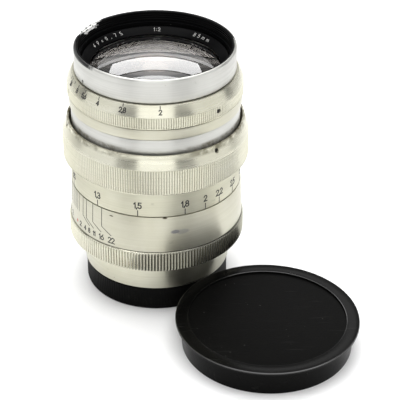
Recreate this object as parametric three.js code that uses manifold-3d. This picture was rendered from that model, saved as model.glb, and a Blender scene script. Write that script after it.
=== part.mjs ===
// Short telephoto screw-mount lens, standing on its rear cap with its front cap lying beside it.
// Millimetres, +Z up along the optical axis. The origin is on that axis at the rear cap's bottom face.
// The front of the object faces -Y. Bearings are degrees from -Y, positive towards +X.
// The lens is set near its closest focus, with the iris about half way closed.
import * as THREE from "three";
import { mergeVertices } from "three/addons/utils/BufferGeometryUtils.js";
import Module from "manifold-3d";

// Faces round a full turn: outer shells, inner rings and glasses.
const OUTER_FACES = 40;
const INNER_FACES = 30;
const GLASS_FACES = 24;
const PIN_FACES = 8;
const BLADE_PIN_FACES = 6;
// Rings of facets on a lens face, from its centre to its edge.
const LENS_RINGS = 3;
// Degrees of turn that one facet of a sector spans, and the fewest facets it gets.
const SECTOR_STEP = 8;
const SECTOR_FACETS = 3;
// Points closer than this are one point, in millimetres.
const SAME_POINT = 1e-4;

// Gap kept between pieces that touch or thread together.
const GAP = 0.3;
// Clearance of screws in the slots and holes that they run in.
const RUNNING = 0.3;
// How far a cutter reaches past the faces that it cuts through.
const BEYOND = 1;
// Height of the cutters for the small holes and slots of the iris plates.
const CUTTER_DEPTH = 3;

// Outer profile of the lens: heights of the seams and radii of the shells.
const CAP_BACK = { radius: 23.6, bore: 19.8, height: 8.3, floor: 1.0, bevel: 0.6 };
const FLANGE = {
  face: 8.6, top: 18.1, radius: 24.0, bore: 21.5, web: 2.0,
  tailRadius: 19.4, tailBore: 17.7, tailEnd: 4.2, tailBevel: 0.5,
};
const GRIP = { bottom: 18.4, top: 25.2, radius: 28.8, shoulder: 28.35, bevel: 0.6, bore: 24.4 };
const SCALE_BARREL = {
  bottom: 25.5, top: 38.1, lowRadius: 28.3, topRadius: 27.75, bore: 26.3, lipBore: 24.6, lip: 1.8,
};
const SKIRT = { bottom: 38.4, top: 47.1, radius: 27.65, bore: 25.6, spigotRadius: 27.3, spigotTop: 49.5 };
const FOCUS = { bottom: 47.4, knurlTop: 56.4, radius: 30.0, coneTop: 59.4, lipRadius: 28.5, top: 60.6 };
const FOCUS_BORE = { low: 27.6, high: 27.85, step: 52.2 };
const TUBE = {
  bottom: 34.0, radius: 23.0, bore: 21.4,
  shoulder: 59.4, outerRadius: 27.2, top: 65.4, cup: 24.9, seat: 61.8,
};
const COLLAR = { bottom: 65.7, top: 69.1, radius: 27.55, bore: 25.0 };
const APERTURE = { bottom: 69.4, knurlTop: 73.6, radius: 28.0, top: 77.0, topRadius: 26.3, bore: 25.0 };
const FRONT = {
  bottom: 77.3, top: 85.0, radius: 25.6, topRadius: 25.2, edge: 0.5, bore: 24.8, foot: 0.8, footBore: 22.0,
};
const RIM = {
  bottom: 78.5, top: 84.8, radius: 24.5, thread: 24.1, step: 81.7, stepRadius: 23.5, stepDrop: 0.4,
};
const NAME = { bottom: 78.2, top: 80.3, outer: 23.1, inner: 20.4, coneTop: 22.7, edge: 0.4 };
const BLOCK = { bottom: 62.2, top: 77.0, radius: 24.5, bore: 21.2 };

// Focusing: the helicoid that turns, the sleeve and keys that do not, and the stop.
const HELICOID = {
  bottom: 28.4, top: 51.8, radius: 24.7, bore: 23.3,
  flangeRadius: 25.9, flange: 1.8, headRadius: 27.2, head: 2.0,
};
const SLEEVE = { bottom: 18.4, top: 41.6, radius: 21.0, bore: 19.6, footRadius: 24.0, foot: 2.6 };
const KEY = {
  bottom: 35.0, height: 6.0, width: 3.0, depth: 1.5, sleeveGap: 0.15, slotWidth: 3.8, slotTop: 49.4,
};
const KEY_BEARINGS = [90, 270];
const RETAINER = { bottom: 30.5, top: 32.0, radius: 26.0, bore: 25.0 };
const STOP = {
  height: 29.3, radius: 0.7, tip: 25.2, head: 27.9, bearing: 180, slotFloor: 24.95, slotRise: 0.1,
};
const FOCUS_TURN = { toInfinity: 224.6, toNear: 5 };

// Rangefinder cam tube: its lugs reach the helicoid through windows in the fixed sleeve.
const CAM = {
  bottom: 3.9, radius: 17.3, bore: 16.2,
  neck: 20.3, wall: 1.0, upperRadius: 19.3, upperBore: 18.2, top: 27.5,
};
const LUG = {
  bottom: 25.5, root: 18.6, reach: 22.9, width: 4.0,
  windowWidth: 5.0, windowBottom: 22.7, windowTop: 27.9,
};
const LUG_BEARINGS = [0, 120, 240];

// Iris: blades hinge on pins in the housing and are driven by pins in slots of the actuator ring.
const BLADE_COUNT = 15;
const BLADE = {
  inner: 12.6, outer: 17.3, pinCircle: 16.2, thickness: 0.05, start: -4, end: 139, drive: 135,
};
const BLADE_RISE = 0.03; // millimetres climbed per degree round the blade
const BLADE_FACETS = 13;
const BLADE_PIN = { radius: 0.45, hole: 0.75, pivotLength: 1.1, slotWidth: 2.3 };
const BLADE_LEVEL = 52.75; // height of a blade's pivot end
const APERTURE_TURN = { toOpen: 63.5, toClosed: 16.3 };
const BLADE_RATIO = 0.519; // degrees a blade swings per degree of the aperture ring
const HOUSING = { bottom: 51.3, plate: 52.4, bore: 13.0, radius: 21.0, wallBore: 19.6, top: 57.0 };
const ACTUATOR = { bottom: 57.4, top: 58.4, bore: 12.75, radius: 19.3, slotStart: 12.95, slotEnd: 18.2 };
const COVER = { bottom: 58.8, top: 59.6, bore: 12.8, radius: 18.9 };
const FORK = { bottom: 57.4, top: 71.9, inner: 19.6, outer: 20.7, halfAngle: 6, bearing: 128 };
const DRIVE_SCREW = {
  height: 70.9, radius: 0.7, tip: 20.95, head: 26.2, slotHeight: 2.0, clearanceAngle: 4,
};

// Grub screws that lock the aperture ring and the focus ring.
const GRUB = { radius: 0.55, hole: 0.75, length: 1.7, sunk: 0.25 };
const APERTURE_GRUBS = { height: 71.8, bearings: [43.5, 163.5, 283.5] };
const FOCUS_GRUBS = { height: 58.8, bearings: [40.5, 160.5, 280.5], tip: 28.0, head: 28.55 };

// Glass: seven elements in three groups. Each has an edge radius and two spherical faces, given as
// the height of the face on the axis and its radius of curvature, positive where it bulges upwards.
const ELEMENTS = {
  front_element: { edge: 20.9, top: 81.85, topCurve: 55, bottom: 75.3, bottomCurve: 190 },
  second_group_front_lens: { edge: 17.9, top: 74.6, topCurve: 32, bottom: 68.0, bottomCurve: 120 },
  second_group_middle_lens: { edge: 17.9, top: 67.9, topCurve: 120, bottom: 65.0, bottomCurve: -300 },
  second_group_rear_lens: { edge: 14.2, top: 64.9, topCurve: -300, bottom: 63.4, bottomCurve: 34 },
  rear_group_front_lens: { edge: 13.6, top: 49.1, topCurve: -300, bottom: 47.3, bottomCurve: 22 },
  rear_group_middle_lens: { edge: 13.6, top: 47.2, topCurve: 22, bottom: 37.5, bottomCurve: -24 },
  rear_group_rear_lens: { edge: 13.6, top: 37.4, topCurve: -24, bottom: 35.5, bottomCurve: -70 },
};
const SECOND_CELL = {
  top: 73.7, bottom: 60.0, radius: 19.3, flangeRadius: 20.9, flange: 1.4,
  bore: 18.1, rearBore: 14.5, step: 65.2,
};
const SECOND_RING = { outer: 17.8, inner: 16.6, bottom: 70.4, top: 71.4 };
const REAR_CELL = {
  top: 51.0, bottom: 31.2, radius: 17.0, flangeRadius: 20.9, flange: 1.6,
  bore: 13.8, seatBore: 12.6, seat: 1.2,
};
const REAR_RING = { bottom: 30.2, top: 31.0, outer: 16.4, inner: 12.4, spigot: 13.5, spigotTop: 36.0 };

// Front cap, lying closed face up.
const CAP_FRONT = {
  x: 34.7, y: -40.9, radius: 29.15, height: 9.3, lip: 0.9, edge: 0.2, wall: 27.1, bore: 25.85,
};
const CAP_RECESS = { radius: 25.0, depth: 0.9, skin: 1.2 };

const wasm = await Module();
wasm.setup();

const lens = new THREE.Group();

const finishes = {
  satinAluminium: { color: 0xd6d3bd, roughness: 0.35, metalness: 1 },
  brightAluminium: { color: 0xe2e1da, roughness: 0.28, metalness: 1 },
  blackPaint: { color: 0x0b0b0c, roughness: 0.35, metalness: 0 },
  blackAnodised: { color: 0x17171a, roughness: 0.55, metalness: 0.4 },
  blackPlastic: { color: 0x111112, roughness: 0.5, metalness: 0 },
  brass: { color: 0xb5965a, roughness: 0.35, metalness: 1 },
  steel: { color: 0x8f8f92, roughness: 0.35, metalness: 1 },
  bladeSteel: { color: 0x1b1b1f, roughness: 0.5, metalness: 0.6 },
  glass: { color: 0xc9d2d8, roughness: 0.05, metalness: 0 },
};

// Adds one named piece in its own material.
function addPiece(name, finish, geometry, parent = lens) {
  const piece = new THREE.Mesh(geometry, new THREE.MeshStandardMaterial(finishes[finish]));
  piece.name = name;
  parent.add(piece);
  return piece;
}

const radians = (degrees) => THREE.MathUtils.degToRad(degrees);

// Angle about +Z, counted from +X, of a bearing counted from -Y.
const angleOf = (bearing) => bearing - 90;

// Turns a closed outline of [radius, height] points about the optical axis.
function turned(outline, faces = INNER_FACES) {
  const points = outline.map(([radius, height]) => new THREE.Vector2(radius, height));
  if (THREE.ShapeUtils.isClockWise(points)) points.reverse();
  points.push(points[0].clone());
  return new THREE.LatheGeometry(points, faces).rotateX(Math.PI / 2);
}

// A plain ring of rectangular section.
function ring(bore, radius, bottom, top, faces = INNER_FACES) {
  return turned([[bore, bottom], [radius, bottom], [radius, top], [bore, top]], faces);
}

function toSolid(geometry) {
  const bare = geometry.clone();
  bare.deleteAttribute("normal");
  bare.deleteAttribute("uv");
  const merged = mergeVertices(bare, SAME_POINT);
  return new wasm.Manifold(
    new wasm.Mesh({
      numProp: 3,
      vertProperties: merged.attributes.position.array,
      triVerts: new Uint32Array(merged.index.array),
    }),
  );
}

function toGeometry(solid) {
  const mesh = solid.getMesh();
  const geometry = new THREE.BufferGeometry();
  geometry.setAttribute("position", new THREE.BufferAttribute(new Float32Array(mesh.vertProperties), 3));
  geometry.setIndex(new THREE.BufferAttribute(new Uint32Array(mesh.triVerts), 1));
  return geometry;
}

function cut(geometry, cutters) {
  const solid = cutters.reduce((rest, cutter) => rest.subtract(toSolid(cutter)), toSolid(geometry));
  return toGeometry(solid);
}

function join(geometries) {
  return toGeometry(geometries.map(toSolid).reduce((sum, next) => sum.add(next)));
}

// A box on the radius at a bearing, from one radius out to another.
function radialBox(bearing, inner, outer, width, bottom, top) {
  return new THREE.BoxGeometry(outer - inner, width, top - bottom)
    .translate((inner + outer) / 2, 0, (bottom + top) / 2)
    .rotateZ(radians(angleOf(bearing)));
}

// A round pin on the radius at a bearing, from one radius out to another.
function radialPin(bearing, inner, outer, pinRadius, height, faces = PIN_FACES) {
  return new THREE.CylinderGeometry(pinRadius, pinRadius, outer - inner, faces)
    .rotateZ(Math.PI / 2)
    .translate((inner + outer) / 2, 0, height)
    .rotateZ(radians(angleOf(bearing)));
}

// A sector of a ring between two angles about +Z, counted from +X.
function sector(inner, outer, fromAngle, toAngle, bottom, top) {
  const shape = new THREE.Shape();
  shape.absarc(0, 0, outer, radians(fromAngle), radians(toAngle), false);
  shape.absarc(0, 0, inner, radians(toAngle), radians(fromAngle), true);
  const curveSegments = Math.max(SECTOR_FACETS, Math.ceil((toAngle - fromAngle) / SECTOR_STEP));
  return new THREE.ExtrudeGeometry(shape, { depth: top - bottom, bevelEnabled: false, curveSegments })
    .translate(0, 0, bottom);
}

// ---- Fixed mount -------------------------------------------------------------------------------

// Seating ring: its lower face meets the camera and its threaded tail screws in.
function mountFlange() {
  const { face, top, radius, tailRadius, tailEnd, tailBevel, tailBore, web, bore } = FLANGE;
  return turned([
    [tailBore, tailEnd], [tailRadius - tailBevel, tailEnd], [tailRadius, tailEnd + tailBevel],
    [tailRadius, face], [radius, face], [radius, top], [bore, top], [bore, face + web],
    [tailBore, face + web],
  ], OUTER_FACES);
}

function mountGripRing() {
  const { bottom, top, radius, shoulder, bevel, bore } = GRIP;
  return turned([
    [bore, bottom], [radius - bevel / 2, bottom], [radius, bottom + bevel / 2], [radius, top - bevel],
    [shoulder, top], [bore, top],
  ], OUTER_FACES);
}

function depthScaleBarrel() {
  const { bottom, top, lowRadius, topRadius, bore, lipBore, lip } = SCALE_BARREL;
  const barrel = turned([
    [lipBore, bottom], [lowRadius, bottom], [topRadius, top], [bore, top], [bore, bottom + lip],
    [lipBore, bottom + lip],
  ], OUTER_FACES);
  const stopHole = radialPin(
    STOP.bearing, bore - BEYOND, lowRadius + BEYOND, STOP.radius + RUNNING / 2, STOP.height);
  return cut(barrel, [stopHole]);
}

function guideSleeve() {
  const { bottom, top, radius, bore, footRadius, foot } = SLEEVE;
  const sleeve = turned([
    [bore, bottom], [footRadius, bottom], [footRadius, bottom + foot], [radius, bottom + foot],
    [radius, top], [bore, top],
  ]);
  const windows = LUG_BEARINGS.map((bearing) =>
    radialBox(bearing, bore - BEYOND, radius + BEYOND, LUG.windowWidth, LUG.windowBottom, LUG.windowTop));
  return cut(sleeve, windows);
}

function guideKey(bearing) {
  const inner = SLEEVE.radius + KEY.sleeveGap;
  return radialBox(bearing, inner, inner + KEY.depth, KEY.width, KEY.bottom, KEY.bottom + KEY.height);
}

addPiece("mount_flange", "satinAluminium", mountFlange());
addPiece("mount_grip_ring", "satinAluminium", mountGripRing());
addPiece("depth_scale_barrel", "satinAluminium", depthScaleBarrel());
addPiece("guide_sleeve", "brass", guideSleeve());
KEY_BEARINGS.forEach((bearing, i) => addPiece(`guide_key_${i + 1}`, "steel", guideKey(bearing)));
addPiece("focus_retaining_ring", "brass",
  ring(RETAINER.bore, RETAINER.radius, RETAINER.bottom, RETAINER.top));
addPiece("focus_stop_screw", "steel",
  radialPin(STOP.bearing, STOP.tip, STOP.head, STOP.radius, STOP.height));

// ---- Focusing ----------------------------------------------------------------------------------

function focusRing() {
  const { bottom, knurlTop, radius, coneTop, lipRadius, top } = FOCUS;
  const body = turned([
    [FOCUS_BORE.low, bottom], [radius - GAP, bottom], [radius, bottom + GAP], [radius, knurlTop],
    [lipRadius, coneTop], [lipRadius, top - GAP], [lipRadius - GAP, top], [FOCUS_BORE.high, top],
    [FOCUS_BORE.high, FOCUS_BORE.step], [FOCUS_BORE.low, FOCUS_BORE.step],
  ], OUTER_FACES);
  const holes = FOCUS_GRUBS.bearings.map((bearing) =>
    radialPin(bearing, FOCUS_BORE.high - BEYOND, radius, GRUB.hole, FOCUS_GRUBS.height));
  return cut(body, holes);
}

function distanceScaleRing() {
  const { bottom, top, radius, bore, spigotRadius, spigotTop } = SKIRT;
  return turned([
    [bore, bottom], [radius, bottom], [radius, top], [spigotRadius, top], [spigotRadius, spigotTop],
    [bore, spigotTop],
  ], OUTER_FACES);
}

// Turning helicoid. Its foot has a long slot that the stop screw meets at each end of the focus range.
function focusHelicoid() {
  const { bottom, radius, bore, flangeRadius, flange, top, headRadius, head } = HELICOID;
  const body = turned([
    [bore, bottom], [flangeRadius, bottom], [flangeRadius, bottom + flange], [radius, bottom + flange],
    [radius, top - head], [headRadius, top - head], [headRadius, top], [bore, top],
  ]);
  const screwAngle = angleOf(STOP.bearing);
  const screwHalfAngle = THREE.MathUtils.radToDeg((STOP.radius + RUNNING) / STOP.tip);
  const slot = sector(STOP.slotFloor, flangeRadius + BEYOND,
    screwAngle - FOCUS_TURN.toNear - screwHalfAngle, screwAngle + FOCUS_TURN.toInfinity + screwHalfAngle,
    bottom - BEYOND, bottom + flange + STOP.slotRise);
  return cut(body, [slot]);
}

addPiece("focus_ring", "satinAluminium", focusRing());
addPiece("distance_scale_ring", "satinAluminium", distanceScaleRing());
addPiece("focus_helicoid", "brass", focusHelicoid());
FOCUS_GRUBS.bearings.forEach((bearing, i) => {
  addPiece(`focus_grub_screw_${i + 1}`, "steel",
    radialPin(bearing, FOCUS_GRUBS.tip, FOCUS_GRUBS.head, GRUB.radius, FOCUS_GRUBS.height));
});

// ---- Lens head ---------------------------------------------------------------------------------

// Sliding tube: threaded in the helicoid below, the bright sleeve of the lens head above.
function headTube() {
  const { bottom, radius, bore, shoulder, outerRadius, top, cup, seat } = TUBE;
  const body = turned([
    [bore, bottom], [radius, bottom], [radius, shoulder], [outerRadius, shoulder], [outerRadius, top],
    [cup, top], [cup, seat], [bore, seat],
  ]);
  const slots = KEY_BEARINGS.map((bearing) =>
    radialBox(bearing, bore - BEYOND, radius + BEYOND, KEY.slotWidth, bottom - BEYOND, KEY.slotTop));
  return cut(body, slots);
}

// Black block behind the scale rings: it holds the front glass, and a slot lets the iris drive through.
function opticalBlock() {
  const { bottom, top, radius, bore } = BLOCK;
  const angle = angleOf(FORK.bearing);
  const slot = sector(bore - BEYOND, radius + BEYOND,
    angle - APERTURE_TURN.toOpen - DRIVE_SCREW.clearanceAngle,
    angle + APERTURE_TURN.toClosed + DRIVE_SCREW.clearanceAngle,
    DRIVE_SCREW.height - DRIVE_SCREW.slotHeight / 2, DRIVE_SCREW.height + DRIVE_SCREW.slotHeight / 2);
  return cut(ring(bore, radius, bottom, top), [slot]);
}

// Silver front barrel that carries the aperture index.
function frontBarrel() {
  const { bottom, top, radius, topRadius, edge, bore, foot, footBore } = FRONT;
  return turned([
    [footBore, bottom], [radius, bottom], [radius, top - edge], [topRadius, top], [bore, top],
    [bore, bottom + foot], [footBore, bottom + foot],
  ], OUTER_FACES);
}

// Black ring with the filter thread inside the front barrel, stepping inwards to the name ring.
function filterRing() {
  const { bottom, top, radius, thread, step, stepRadius, stepDrop } = RIM;
  return turned([
    [stepRadius, bottom], [radius, bottom], [radius, top], [thread, top], [thread, step],
    [stepRadius, step - stepDrop],
  ], OUTER_FACES);
}

function nameRing() {
  const { bottom, top, outer, inner, coneTop, edge } = NAME;
  return turned([
    [inner, bottom], [outer, bottom], [outer, top], [coneTop, top], [inner, bottom + edge],
  ], OUTER_FACES);
}

function secondGroupCell() {
  const { top, bottom, radius, flangeRadius, flange, bore, rearBore, step } = SECOND_CELL;
  return turned([
    [rearBore, bottom], [radius, bottom], [radius, top - flange], [flangeRadius, top - flange],
    [flangeRadius, top], [bore, top], [bore, step], [rearBore, step],
  ]);
}

function rearCell() {
  const { top, bottom, radius, flangeRadius, flange, bore, seatBore, seat } = REAR_CELL;
  return turned([
    [bore, bottom], [radius, bottom], [radius, top - flange], [flangeRadius, top - flange],
    [flangeRadius, top], [seatBore, top], [seatBore, top - seat], [bore, top - seat],
  ]);
}

function rearRetainingRing() {
  const { bottom, top, outer, inner, spigot, spigotTop } = REAR_RING;
  return turned([
    [inner, bottom], [outer, bottom], [outer, top], [spigot, top], [spigot, spigotTop], [inner, spigotTop],
  ]);
}

// A glass element between two spherical faces, with a cylindrical edge.
function lensElement({ edge, top, topCurve, bottom, bottomCurve }) {
  const sag = (radius, curve) => curve - Math.sign(curve) * Math.sqrt(curve * curve - radius * radius);
  const face = (height, curve) =>
    Array.from({ length: LENS_RINGS + 1 }, (_, i) => {
      const radius = (edge * i) / LENS_RINGS;
      return [radius, height - sag(radius, curve)];
    });
  return turned([...face(bottom, bottomCurve), ...face(top, topCurve).reverse()], GLASS_FACES);
}

addPiece("head_tube", "brightAluminium", headTube());
addPiece("head_collar", "satinAluminium",
  ring(COLLAR.bore, COLLAR.radius, COLLAR.bottom, COLLAR.top, OUTER_FACES));
addPiece("optical_block", "blackAnodised", opticalBlock());
addPiece("front_barrel", "brightAluminium", frontBarrel());
addPiece("filter_ring", "blackPaint", filterRing());
addPiece("name_ring", "blackPaint", nameRing());
addPiece("second_group_cell", "blackAnodised", secondGroupCell());
addPiece("second_group_ring", "blackAnodised",
  ring(SECOND_RING.inner, SECOND_RING.outer, SECOND_RING.bottom, SECOND_RING.top));
addPiece("rear_cell", "blackAnodised", rearCell());
addPiece("rear_retaining_ring", "blackAnodised", rearRetainingRing());
Object.entries(ELEMENTS).forEach(([name, element]) => addPiece(name, "glass", lensElement(element)));

// ---- Iris --------------------------------------------------------------------------------------

const bladeAngle = (i) => (i * 360) / BLADE_COUNT;
const bladeName = (i) => `iris_blade_${String(i + 1).padStart(2, "0")}`;
const bladeSwingAtRest = BLADE_RATIO * APERTURE_TURN.toOpen;

function irisHousing() {
  const { bottom, plate, bore, radius, wallBore, top } = HOUSING;
  const body = turned([
    [bore, bottom], [radius, bottom], [radius, top], [wallBore, top], [wallBore, plate], [bore, plate],
  ]);
  const holes = Array.from({ length: BLADE_COUNT }, (_, i) =>
    new THREE.CylinderGeometry(BLADE_PIN.hole, BLADE_PIN.hole, CUTTER_DEPTH, PIN_FACES)
      .rotateX(Math.PI / 2)
      .translate(BLADE.pinCircle, 0, plate)
      .rotateZ(radians(bladeAngle(i))));
  return cut(body, holes);
}

// Where a blade's drive pin stands, with the blade swung shut by some degrees about its pivot pin.
function drivePinPlace(swing) {
  const chord = 2 * BLADE.pinCircle * Math.sin(radians(BLADE.drive) / 2);
  const direction = radians(90 + BLADE.drive / 2 + swing);
  return {
    x: BLADE.pinCircle + chord * Math.cos(direction),
    y: chord * Math.sin(direction),
  };
}

// Bearing of a slot in the ring at rest: midway between where the pin stands wide open and closed.
function slotAngle() {
  const angleInRing = (ringTurn) => {
    const place = drivePinPlace(BLADE_RATIO * (APERTURE_TURN.toOpen + ringTurn));
    const angle = THREE.MathUtils.radToDeg(Math.atan2(place.y, place.x));
    return THREE.MathUtils.euclideanModulo(angle - ringTurn, 360);
  };
  return (angleInRing(-APERTURE_TURN.toOpen) + angleInRing(APERTURE_TURN.toClosed)) / 2;
}

function irisActuatorRing() {
  const { bottom, top, bore, radius, slotStart, slotEnd } = ACTUATOR;
  const slots = Array.from({ length: BLADE_COUNT }, (_, i) =>
    new THREE.BoxGeometry(slotEnd - slotStart, BLADE_PIN.slotWidth, CUTTER_DEPTH)
      .translate((slotStart + slotEnd) / 2, 0, top)
      .rotateZ(radians(slotAngle() + bladeAngle(i))));
  return cut(ring(bore, radius, bottom, top), slots);
}

// One crescent blade, wide open about the optical axis with its pivot at angle 0, climbing towards its tip.
function openBlade() {
  const { inner, outer, thickness, start, end, pinCircle, drive } = BLADE;
  const positions = [];
  const faces = [];
  for (let i = 0; i <= BLADE_FACETS; i += 1) {
    const angle = start + ((end - start) * i) / BLADE_FACETS;
    const isEnd = i === 0 || i === BLADE_FACETS;
    const trim = isEnd ? (outer - inner) / 4 : 0;
    const height = BLADE_RISE * angle;
    const across = Math.cos(radians(angle));
    const along = Math.sin(radians(angle));
    const low = inner + trim;
    const high = outer - trim;
    for (const [radius, lift] of [[low, 0], [high, 0], [high, thickness], [low, thickness]]) {
      positions.push(radius * across, radius * along, height + lift);
    }
  }
  const quad = (a, b, c, d) => faces.push(a, b, c, a, c, d);
  for (let i = 0; i < BLADE_FACETS; i += 1) {
    const near = 4 * i;
    const far = near + 4;
    for (let side = 0; side < 4; side += 1) {
      const next = (side + 1) % 4;
      quad(near + side, far + side, far + next, near + next);
    }
  }
  const last = 4 * BLADE_FACETS;
  quad(0, 1, 2, 3);
  quad(last, last + 3, last + 2, last + 1);
  const plate = new THREE.BufferGeometry();
  plate.setAttribute("position", new THREE.BufferAttribute(new Float32Array(positions), 3));
  plate.setIndex(faces);
  const pin = (angle, from, to) =>
    new THREE.CylinderGeometry(BLADE_PIN.radius, BLADE_PIN.radius, to - from, BLADE_PIN_FACES)
      .rotateX(Math.PI / 2)
      .translate(pinCircle, 0, (from + to) / 2)
      .rotateZ(radians(angle));
  const driveTop = ACTUATOR.top - BLADE_LEVEL;
  const pivotPin = pin(0, -BLADE_PIN.pivotLength, thickness);
  const drivePin = pin(drive, BLADE_RISE * drive, driveTop);
  return join([plate, pivotPin, drivePin]);
}

function addIrisBlades() {
  const blade = openBlade();
  for (let i = 0; i < BLADE_COUNT; i += 1) {
    const geometry = blade.clone()
      .translate(-BLADE.pinCircle, 0, BLADE_LEVEL)
      .rotateZ(radians(bladeSwingAtRest))
      .translate(BLADE.pinCircle, 0, 0)
      .rotateZ(radians(bladeAngle(i)));
    addPiece(bladeName(i), "bladeSteel", geometry);
  }
}

// Upright strip that turns the actuator ring from the screw in the aperture ring.
function irisFork() {
  const angle = angleOf(FORK.bearing);
  const { inner, outer, halfAngle, bottom, top } = FORK;
  return sector(inner, outer, angle - halfAngle, angle + halfAngle, bottom, top);
}

addPiece("iris_housing", "blackAnodised", irisHousing());
addPiece("iris_cover_ring", "blackAnodised", ring(COVER.bore, COVER.radius, COVER.bottom, COVER.top));
addPiece("iris_actuator_ring", "blackAnodised", irisActuatorRing());
addPiece("iris_fork", "steel", irisFork());
addIrisBlades();

// ---- Aperture ring -----------------------------------------------------------------------------

function apertureRing() {
  const { bottom, knurlTop, radius, top, topRadius, bore } = APERTURE;
  const body = turned([
    [bore, bottom], [radius - GAP, bottom], [radius, bottom + GAP], [radius, knurlTop], [topRadius, top],
    [bore, top],
  ], OUTER_FACES);
  const holes = APERTURE_GRUBS.bearings.map((bearing) =>
    radialPin(bearing, bore - BEYOND, radius + BEYOND, GRUB.hole, APERTURE_GRUBS.height));
  const { head, radius: screwRadius, height } = DRIVE_SCREW;
  const screwSeat = radialPin(FORK.bearing, bore - BEYOND, head + GAP, screwRadius + RUNNING / 2, height);
  return cut(body, [...holes, screwSeat]);
}

addPiece("aperture_ring", "satinAluminium", apertureRing());
addPiece("aperture_drive_screw", "steel",
  radialPin(FORK.bearing, DRIVE_SCREW.tip, DRIVE_SCREW.head, DRIVE_SCREW.radius, DRIVE_SCREW.height));
APERTURE_GRUBS.bearings.forEach((bearing, i) => {
  const head = APERTURE.radius - GRUB.sunk;
  addPiece(`aperture_grub_screw_${i + 1}`, "steel",
    radialPin(bearing, head - GRUB.length, head, GRUB.radius, APERTURE_GRUBS.height));
});

// ---- Rangefinder cam and caps ------------------------------------------------------------------

function rangefinderCamTube() {
  const { bottom, radius, bore, neck, wall, upperRadius, upperBore, top } = CAM;
  const body = turned([
    [bore, bottom], [radius, bottom], [radius, neck - wall], [upperRadius, neck - wall],
    [upperRadius, top], [upperBore, top], [upperBore, neck], [bore, neck],
  ]);
  const lugs = LUG_BEARINGS.map((bearing) =>
    radialBox(bearing, LUG.root, LUG.reach, LUG.width, LUG.bottom, top));
  return join([body, ...lugs]);
}

function rearCap() {
  const { radius, bore, height, floor, bevel } = CAP_BACK;
  return turned([
    [0, 0], [radius - bevel, 0], [radius, bevel], [radius, height - bevel / 2],
    [radius - bevel / 2, height], [bore, height], [bore, floor], [0, floor],
  ], OUTER_FACES);
}

function frontCap() {
  const { x, y, radius, height, lip, edge, wall, bore } = CAP_FRONT;
  const recessFloor = height - CAP_RECESS.depth;
  return turned([
    [0, recessFloor - CAP_RECESS.skin], [bore, recessFloor - CAP_RECESS.skin], [bore, 0], [wall, 0],
    [wall, height - lip], [radius, height - lip], [radius, height - edge], [radius - edge, height],
    [CAP_RECESS.radius, height], [CAP_RECESS.radius, recessFloor], [0, recessFloor],
  ], OUTER_FACES).translate(x, y, 0);
}

addPiece("rangefinder_cam_tube", "brass", rangefinderCamTube());
addPiece("rear_cap", "blackPlastic", rearCap());
addPiece("front_cap", "blackPlastic", frontCap());

export default lens;
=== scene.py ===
"""A short telephoto lens of satin aluminium with its two black caps.

Units inside the shape functions are millimetres; the meshes themselves are in metres.
The optical axis is the world Z axis. A bearing is in degrees from -Y, growing towards +X.
"""

import functools
import math
from types import SimpleNamespace

import bmesh
import bpy
from mathutils import Matrix, Vector


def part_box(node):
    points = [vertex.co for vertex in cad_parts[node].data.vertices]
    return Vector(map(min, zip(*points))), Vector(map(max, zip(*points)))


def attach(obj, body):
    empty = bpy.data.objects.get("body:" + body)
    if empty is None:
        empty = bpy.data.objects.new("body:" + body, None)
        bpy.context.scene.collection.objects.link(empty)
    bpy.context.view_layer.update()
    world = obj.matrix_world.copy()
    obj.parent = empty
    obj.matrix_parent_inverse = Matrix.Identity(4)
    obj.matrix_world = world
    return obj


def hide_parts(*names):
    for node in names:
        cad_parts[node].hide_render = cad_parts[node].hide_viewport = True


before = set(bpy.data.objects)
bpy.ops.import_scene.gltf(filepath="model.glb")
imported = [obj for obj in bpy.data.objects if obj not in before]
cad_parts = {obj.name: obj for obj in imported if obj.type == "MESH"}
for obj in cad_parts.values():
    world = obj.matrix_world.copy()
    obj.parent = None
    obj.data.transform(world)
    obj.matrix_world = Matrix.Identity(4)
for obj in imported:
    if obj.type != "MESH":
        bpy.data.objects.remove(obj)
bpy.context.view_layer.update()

MM = 0.001
SIDES = 360  # facets round a plain turned ring
GLASS_SIDES = 128
SHARP = math.radians(28)  # edges sharper than this stay crisp under smooth shading


def direction(bearing):
    """The level unit vector that points to a bearing."""
    angle = math.radians(bearing - 90)
    return Vector((math.cos(angle), math.sin(angle), 0.0))


def show(thing):
    bpy.context.scene.collection.objects.link(thing)


# ---- Camera and lights ----

CAMERA_PLACE = (0.0, -0.41390, 0.28349)
CAMERA_PITCH = math.radians(31.73006554)  # downwards
CAMERA_YAW = math.radians(2.00126021)  # towards +X
CAMERA_ROLL = math.radians(0.55347763)
CAMERA_LENS = 131.662  # millimetres, on a sensor 36 mm wide

forward = Vector((
    math.sin(CAMERA_YAW) * math.cos(CAMERA_PITCH),
    math.cos(CAMERA_YAW) * math.cos(CAMERA_PITCH),
    -math.sin(CAMERA_PITCH),
))
level_right = forward.cross(Vector((0, 0, 1))).normalized()
level_up = level_right.cross(forward)
right = math.cos(CAMERA_ROLL) * level_right + math.sin(CAMERA_ROLL) * level_up
up = -math.sin(CAMERA_ROLL) * level_right + math.cos(CAMERA_ROLL) * level_up
camera_data = bpy.data.cameras.new("camera")
camera_data.lens = CAMERA_LENS
camera_data.sensor_width = 36.0
camera_data.clip_start = 0.01
camera = bpy.data.objects.new("camera", camera_data)
camera.matrix_world = Matrix.Translation(CAMERA_PLACE) @ Matrix((right, up, -forward)).transposed().to_4x4()
show(camera)
bpy.context.scene.camera = camera
bpy.context.scene.view_settings.view_transform = "Standard"

WORLD_LIGHT = 0.20
world = bpy.data.worlds.new("studio")
world.use_nodes = True
background = world.node_tree.nodes["Background"]
background.inputs["Color"].default_value = (1.0, 1.0, 1.0, 1.0)
background.inputs["Strength"].default_value = WORLD_LIGHT
bpy.context.scene.world = world

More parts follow.
